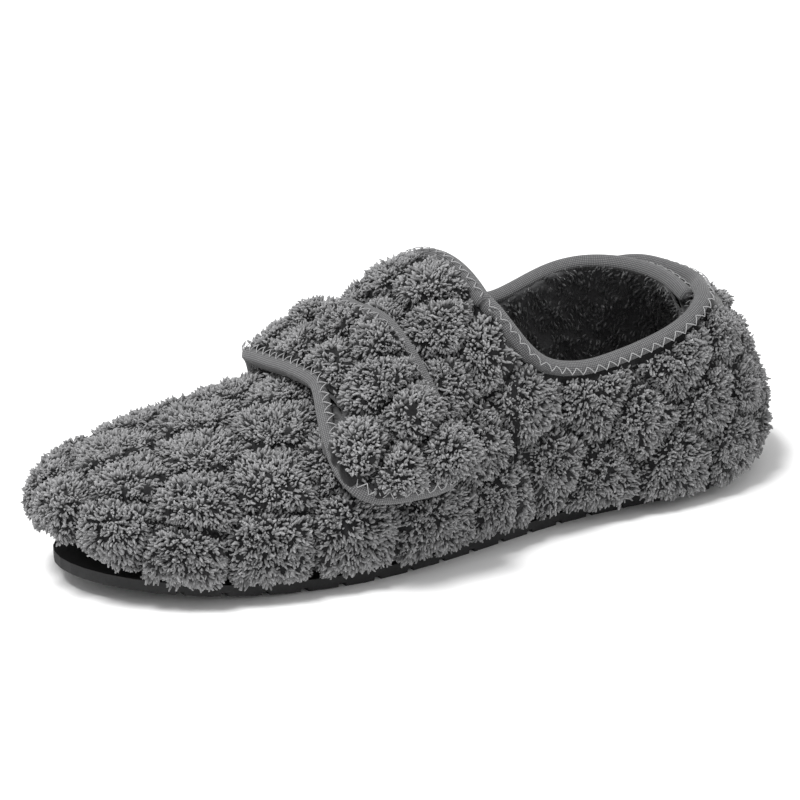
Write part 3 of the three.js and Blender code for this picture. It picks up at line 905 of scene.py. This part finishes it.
# %% Strap tape
STRAP_MIDDLE_Z = 30 * MM
STRAP_RADIUS = 45 * MM
STRAP_X = -32 * MM
STRAP_DROP = 1.9 * MM
STRAP_STITCHES = {"out": 2.9 * MM, "near": 2.6 * MM, "far": 5.8 * MM}
STRAP_SECTION = section(2.7 * MM, 2.5 * MM)
strap_points = samples_of(["strap_tape", "strap_sewn_end_tape"], per_mm2=12)
over = np.arctan2(strap_points[:, 2] - STRAP_MIDDLE_Z, strap_points[:, 1]) * STRAP_RADIUS
flat = np.stack([over - (over.min() + over.max()) / 2, strap_points[:, 0] - STRAP_X], axis=1)
strap_line = even_out(
    edge_line(strap_points, np.arctan2(flat[:, 1], flat[:, 0]), np.linalg.norm(flat, axis=1), 360),
    rounds=60, closed=True,
)
strap_middle = np.array([STRAP_X, 0, 60 * MM])
strap_outs, strap_ups = frames_along(strap_line, FACING[strap.name], strap_middle, closed=True)
tape_middle = strap_line - strap_ups * STRAP_DROP
strap_tape = sweep("strap_edge_tape", tape_middle, strap_outs, strap_ups, STRAP_SECTION, True)
strap_thread = zigzag("strap_stitches", strap_line, strap_outs, strap_ups, **STRAP_STITCHES)

# %% [markdown]
# ## Curls
# The pile itself is thousands of short curls. One curl is a blunt little tongue: a three-sided prism,
# cut across, widest a little above half its length, narrower at the tip and bent over.
# A few different bends are made once, and copied all over the skin later.

# %% One curl
CURL_PROFILE = {0.0: 0.6, 0.6: 1.0, 1.0: 0.5}


def make_curl(bend, twist):
    """A blunt curl, one long, one wide and standing on the origin, that leans over as it rises."""
    bm = bmesh.new()
    bmesh.ops.create_cone(bm, cap_ends=True, cap_tris=False, segments=3, radius1=0.5, radius2=0.5, depth=1,
                          matrix=Matrix.Translation((0, 0, 0.5)))
    for up in list(CURL_PROFILE)[1:-1]:
        cut_across(bm, up)
    floor = [face for face in bm.faces if face.normal.z < -0.9]
    bmesh.ops.delete(bm, geom=floor, context="FACES_ONLY")
    for vert in bm.verts:
        up = vert.co.z
        wide = CURL_PROFILE[min(CURL_PROFILE, key=lambda cut: abs(cut - up))]
        vert.co.x = vert.co.x * wide + bend * up * up * 1.6
        vert.co.y = vert.co.y * wide + twist * math.sin(up * math.pi) * 0.5
        vert.co.z = up * (1 - 0.2 * abs(bend) * up)
    bmesh.ops.triangulate(bm, faces=bm.faces)
    mesh = bpy.data.meshes.new("curl")
    bm.to_mesh(mesh)
    bm.free()
    return mesh


CURL_BENDS = ((0.3, 0.6), (0.6, -0.5), (0.1, 0.9), (0.8, 0.2), (0.45, -0.9))
CURLS = [make_curl(bend, twist) for bend, twist in CURL_BENDS]
print("a curl has", len(CURLS[0].polygons), "faces")

# %% [markdown]
# ## Pile on the skins
# Each curl stands on the skin and leans away from the middle of its puff, turned and sized by chance from a
# fixed seed, so that the same fleece grows every time. Curls are shorter in the valleys and droop at the hem.
# None grows on a tape, through a piece that lies over the fleece, or through the floor.
# The pile is made in several pieces, so that none of them is too heavy to handle.

# %% Growing the pile on a skin
CURL_LENGTH = 3.1 * MM
CURL_WIDTH = 1.2 * MM
CURLS_PER_MM2 = 1.4
CURL_ROOT = 1.4 * MM
CURL_LEAN = 0.35
CURL_SWAY = 0.25
EDGE_LEAN = 0.8
EDGE_BAND = 5 * MM
SHORTEST = 0.5 * MM
TAPE_REACH = 4.7 * MM
STRAP_REACH = 5.9 * MM
FLOOR_GAP = 0.5 * MM


def nearest_on(line, spots):
    """The point of a line nearest to each spot, and how far away it is."""
    best = np.full(len(spots), 1e9)
    found = np.zeros(len(spots), int)
    for i, point in enumerate(line):
        away = ((spots - point) ** 2).sum(1)
        found = np.where(away < best, i, found)
        best = np.minimum(best, away)
    return line[found], np.sqrt(best)


def grow_pile(name, skin, pile, middles, seed, edge, cover=None, part=None, reach=TAPE_REACH):
    """Curls on the piled faces of a skin, leaning out from their puff's middle and away from a taped edge."""
    luck = np.random.default_rng(seed)
    faces = [f for f in skin.data.polygons if pile[f.vertices[0]] > 0.5]
    if part is not None:
        faces = [f for f in faces if part(f.center)]
    centres = np.array([f.center for f in faces])
    facing = np.array([f.normal for f in faces])
    areas = np.array([f.area for f in faces])
    total = int(areas.sum() / MM ** 2 * CURLS_PER_MM2)
    chosen = luck.choice(len(faces), total, p=areas / areas.sum())
    spots = centres[chosen] + luck.normal(0, 0.45 * MM, (total, 3))
    from_edge = nearest_on(edge, spots)[1]
    spots, ups, from_edge = [kept[from_edge > reach] for kept in (spots, facing[chosen], from_edge)]
    total = len(spots)
    height, owner = puff_height(spots, middles)
    away = spots - middles[owner]
    away -= (away * ups).sum(1)[:, None] * ups
    from_middle = np.linalg.norm(away, axis=1)
    away /= from_middle[:, None] + 1e-9
    lean = CURL_LEAN * np.clip(from_middle / (PUFF / 2), 0, 1.1)
    by_edge = 1 - ramp(reach, reach + EDGE_BAND, from_edge)
    inward = unit(spots - nearest_on(edge, spots)[0]) * by_edge[:, None]
    sway = np.stack([waves(spots, 6 * MM, seed + k) for k in range(3)], axis=1)
    hem = 1 - ramp(3 * MM, 12 * MM, over_sole(spots))
    droop = np.array([0, 0, -1.0]) * (0.12 + 0.9 * hem[:, None])
    direction = ups + away * lean[:, None] + EDGE_LEAN * inward + droop + CURL_SWAY * sway
    direction += luck.normal(0, 0.17, (total, 3))
    direction += ups * np.clip(0.2 - (direction * ups).sum(1), 0, None)[:, None]
    direction = unit(direction)
    lengths = CURL_LENGTH * luck.uniform(0.75, 1.2, total) * (0.45 + 0.55 * height) * (1 + 0.3 * hem)
    spots = spots - ups * CURL_ROOT
    room = room_over(spots, direction, cover, COVER_REACH) - 0.3 * MM
    lengths = np.minimum(lengths, np.maximum(room, 0.6 * MM))
    floor_room = (spots[:, 2] - LOW.z - FLOOR_GAP) / np.clip(-direction[:, 2], 1e-3, None)
    above_floor = np.clip(lengths, 0, np.clip(floor_room, SHORTEST, None))
    lengths = np.where(direction[:, 2] < 0, above_floor, lengths)
    widths = CURL_WIDTH * luck.uniform(0.7, 1.25, total)
    leans = away * np.clip(from_middle / (6 * MM), 0, 1)[:, None] + 0.6 * luck.normal(0, 1, (total, 3))
    # painted shade: roots are drawn darker than tips, and curls in the valleys darker than those on the puffs
    depth = 1.5 - 0.45 * height
    shade = luck.normal(1.0, 0.14, total)
    grown = scatter(name, CURLS, spots, direction, leans, lengths, widths, (depth, shade))
    paint(grown, FLEECE)
    print(name, total, "curls", len(grown.data.polygons), "faces")
    return grown


def between(low, high):
    """A test for places that lie between two distances along the shoe."""
    return lambda place: low <= place.x < high


ALL_COLLARS = np.concatenate([vamp_line, inner_line, outer_line])
CUT_SHARES = (0.18, 0.34, 0.47, 0.75)
CUTS = [-1, *[LOW.x + share * (HIGH.x - LOW.x) for share in CUT_SHARES], 1]
FLAP_START = 85 * MM
upper_curls = [
    grow_pile(f"upper_curls_{where}", upper, upper_pile, BODY_MIDDLES, 11 + 20 * i, ALL_COLLARS,
              UPPER_COVER, between(CUTS[i], CUTS[i + 1]))
    for i, where in enumerate(("toe", "ball", "instep", "quarter", "heel"))
]
outer_curls = [
    grow_pile("outer_quarter_curls", outer, outer_pile, BODY_MIDDLES, 14, outer_line,
              part=between(SEAM, FLAP_START)),
    grow_pile("heel_flap_curls", outer, outer_pile, BODY_MIDDLES, 15, outer_line,
              part=between(FLAP_START, 1)),
]
strap_curls = grow_pile("strap_curls", strap, strap_pile, STRAP_MIDDLES, 16, strap_line, reach=STRAP_REACH)

# %% [markdown]
# ## Footbed
# The footbed is a foam sheet under a plush cover, slightly pillowed between its edges.
# A cloth simulation does this: pressure inside the skin swells it, with gravity off. Each point is then held
# to a small distance from where it was, because the footbed lies tight between the walls of the shoe.

# %% Swelling a padded piece
SWELL_FRAMES = 20
SWELL_PRESSURE = 4.0


def swell(piece, furthest):
    """Let a closed skin swell under pressure, but no point moves further than a given distance."""
    before = places(piece)
    cloth = piece.modifiers.new("swell", "CLOTH")
    cloth.settings.use_pressure = True
    cloth.settings.uniform_pressure_force = SWELL_PRESSURE
    cloth.settings.effector_weights.gravity = 0
    cloth.settings.quality = 5
    for i in range(1, SWELL_FRAMES + 1):
        bpy.context.scene.frame_set(i)
    apply_modifiers(piece)
    bpy.context.scene.frame_set(1)
    move = places(piece) - before
    size = np.linalg.norm(move, axis=1)[:, None] + 1e-12
    move_to(piece, before + move / size * np.minimum(size, furthest))
    print(piece.name, "swelled by", round(float(size.max()) / MM, 2), "mm before the limit")


def make_footbed(name, node, voxel, furthest):
    piece = copy_of(name, node)
    remesh(piece, voxel, 4)
    swell(piece, furthest)
    return piece


insole = make_footbed("insole_plush", "insole_cover", 1.5 * MM, 0.8 * MM)
insole_foam = make_footbed("insole_foam_sheet", "insole_foam", 2 * MM, 0.3 * MM)
paint(insole, LINING)
paint(insole_foam, FOAM)
print("footbed", len(insole.data.polygons), "faces")

# %% [markdown]
# ## Linings
# Each lining wall is remeshed and given the small dips of a soft plush. Short tufts grow where it is seen,
# on its upper inside. The strap's backing and the filler foam are made the same way, without tufts.

# %% Linings
PLUSH_FROM = 32 * MM
PLUSH_PER_MM2 = 0.7
PLUSH_LENGTH = 2.1 * MM
PLUSH_WIDTH = 0.8 * MM


def make_plush(name, *nodes, voxel=1.6 * MM, smoothing=12, start=None):
    piece = copy_of(name, *nodes)
    remesh(piece, voxel, smoothing)
    if start is not None:
        cut_before(piece, start)
    co = places(piece)
    dips = 0.25 * MM * waves(co, 7 * MM, 2) + 0.12 * MM * waves(co, 2.5 * MM, 8)
    move_to(piece, co + normals(piece) * dips[:, None])
    paint(piece, LINING)
    print(name, len(piece.data.polygons), "faces")
    return piece


def grow_plush(name, lining, seed):
    """Short tufts on the upper inside of a lining, brushed towards the toe and down."""
    luck = np.random.default_rng(seed)
    faces = [f for f in lining.data.polygons if f.center.z > PLUSH_FROM]
    centres = np.array([f.center for f in faces])
    facing = np.array([f.normal for f in faces])
    inside = (facing * (centres - np.array(ANKLE) - [0, 0, 50 * MM])).sum(1) < 0
    centres, facing = centres[inside], facing[inside]
    areas = np.array([f.area for f in faces])[inside]
    total = int(areas.sum() / MM ** 2 * PLUSH_PER_MM2)
    chosen = luck.choice(len(centres), total, p=areas / areas.sum())
    spots = centres[chosen] + luck.normal(0, 0.5 * MM, (total, 3)) - facing[chosen] * 0.5 * MM
    swirl = np.stack([waves(spots, 12 * MM, seed + k) for k in range(3)], axis=1)
    brushed = np.array([-0.3, 0, -0.6]) + 0.5 * swirl
    ways = unit(facing[chosen] + brushed + luck.normal(0, 0.25, (total, 3)))
    lengths = PLUSH_LENGTH * luck.uniform(0.7, 1.2, total)
    grown = scatter(name, CURLS, spots, ways, brushed, lengths, np.full(total, PLUSH_WIDTH))
    paint(grown, LINING)
    print(name, total, "tufts", len(grown.data.polygons), "faces")
    return grown


upper_lining = make_plush("vamp_and_inner_quarter_plush", "vamp_lining", "inner_quarter_lining")
outer_lining = make_plush("outer_quarter_and_flap_plush", "vamp_lining", "outer_quarter_lining",
                          "heel_flap_lining", start=SEAM - SEAM_LAP)
upper_plush = grow_plush("upper_plush_tufts", upper_lining, 21)
outer_plush = grow_plush("outer_plush_tufts", outer_lining, 22)
strap_backing = make_plush("strap_plush", "strap_backing", "strap_sewn_end_backing", voxel=0.8 * MM)
filler = make_plush("filler_foam_sheet", "filler_foam", voxel=2 * MM)
paint(filler, FOAM)

# %% [markdown]
# ## Hook and loop pads
# Two pads close the strap and two close the heel flap. Each is a thin piece of stiff nylon fabric,
# so it needs a finer mesh and less smoothing than the linings. The sole and the board keep their solids.

# %% Pads
PAD = {"voxel": 0.5 * MM, "smoothing": 3}
strap_loop = make_plush("strap_loop_fabric", "strap_loop_pad", **PAD)
heel_loop = make_plush("heel_loop_fabric", "heel_loop_pad", **PAD)
strap_hook = make_plush("strap_hook_fabric", "strap_hook_pad", **PAD)
heel_hook = make_plush("heel_hook_fabric", "heel_hook_pad", **PAD)
for pad in (strap_loop, heel_loop):
    paint(pad, LOOP)
for pad in (strap_hook, heel_hook):
    paint(pad, HOOK)
paint(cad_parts["outsole"], RUBBER)
paint(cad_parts["lasting_board"], BOARD)

# %% [markdown]
# ## Riding on the bodies
# Each piece of the upper, with the footbed, the filler and the loop pads, is parented to an empty for the
# upper's body, the strap's hook pad to one for the strap and the flap's hook pad to one for the heel flap.
# The outer quarter and the flap are one cloth that bends at the heel, and the strap bends by its sewn end;
# their pieces are baked where they stand. The frame's solids that a piece replaces are hidden.

for piece, nodes, finish in (
    (upper, ["vamp_fleece", "inner_quarter_fleece"], "fleece"),
    *[(curls, [], "fleece") for curls in upper_curls],
    (vamp_thread, [], "edge_tape"),
    (inner_thread, [], "edge_tape"),
    (vamp_tape, ["vamp_tape"], "edge_tape"),
    (inner_tape, ["inner_quarter_tape"], "edge_tape"),
    (upper_lining, ["vamp_lining", "inner_quarter_lining"], "plush_lining"),
    (upper_plush, [], "plush_lining"),
    (insole, ["insole_cover"], "plush_lining"),
    (insole_foam, ["insole_foam"], "foam"),
    (filler, ["filler_foam"], "foam"),
    (strap_loop, ["strap_loop_pad"], "loop_fabric"),
    (heel_loop, ["heel_loop_pad"], "loop_fabric"),
):
    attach(piece, "upper")
    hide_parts(*nodes)
for piece, nodes, finish in (
    (outer, ["outer_quarter_fleece", "heel_flap_fleece"], "fleece"),
    *[(curls, [], "fleece") for curls in outer_curls],
    (outer_thread, [], "edge_tape"),
    (outer_tape, ["outer_quarter_tape", "heel_flap_tape"], "edge_tape"),
    (outer_lining, ["outer_quarter_lining", "heel_flap_lining"], "plush_lining"),
    (outer_plush, [], "plush_lining"),
):
    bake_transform(piece)
    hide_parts(*nodes)
for piece, nodes, finish in (
    (strap, ["strap_fleece", "strap_sewn_end_fleece"], "fleece"),
    (strap_curls, [], "fleece"),
    (strap_thread, [], "edge_tape"),
    (strap_tape, ["strap_tape", "strap_sewn_end_tape"], "edge_tape"),
    (strap_backing, ["strap_backing", "strap_sewn_end_backing"], "plush_lining"),
):
    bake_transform(piece)
    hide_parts(*nodes)
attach(strap_hook, "strap")
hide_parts("strap_hook_pad")
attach(heel_hook, "heel_flap")
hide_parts("heel_hook_pad")

# %% [markdown]
# ## Studio
# A white floor runs into a white background. One large soft lamp stands high on the toe's side,
# and a weaker, wider one fills the shadows from the heel's side.

# %% Floor, lamps and background
FLOOR_HALF = 6
SKY_STRENGTH = 0.62


def make_floor():
    bm = bmesh.new()
    bmesh.ops.create_grid(bm, x_segments=1, y_segments=1, size=FLOOR_HALF)
    floor = object_from(bm, "floor", smooth=False)
    made, tree = new_material("white_studio_floor")
    finish_material(tree, Base_Color=colour("#fbfbfb"), Roughness=0.9, Specular_IOR_Level=0.1)
    paint(floor, made)


def add_lamp(name, place, size, power):
    light = bpy.data.lights.new(name, "AREA")
    light.size = size
    light.energy = power
    lamp = bpy.data.objects.new(name, light)
    bpy.context.scene.collection.objects.link(lamp)
    lamp.location = place
    lamp.rotation_mode = "QUATERNION"
    lamp.rotation_quaternion = (Vector(place) - AIM).to_track_quat("Z", "Y")


make_floor()
add_lamp("key_lamp", (-1.5, -0.2, 3.5), 1.1, 142)
add_lamp("fill_lamp", (3.0, -2.3, 2.3), 2.0, 22)
world = bpy.data.worlds.new("studio")
bpy.context.scene.world = world
world.use_nodes = True
world.node_tree.nodes["Background"].inputs["Color"].default_value = colour("#ffffff")
world.node_tree.nodes["Background"].inputs["Strength"].default_value = SKY_STRENGTH
bpy.context.scene.view_settings.view_transform = "Standard"
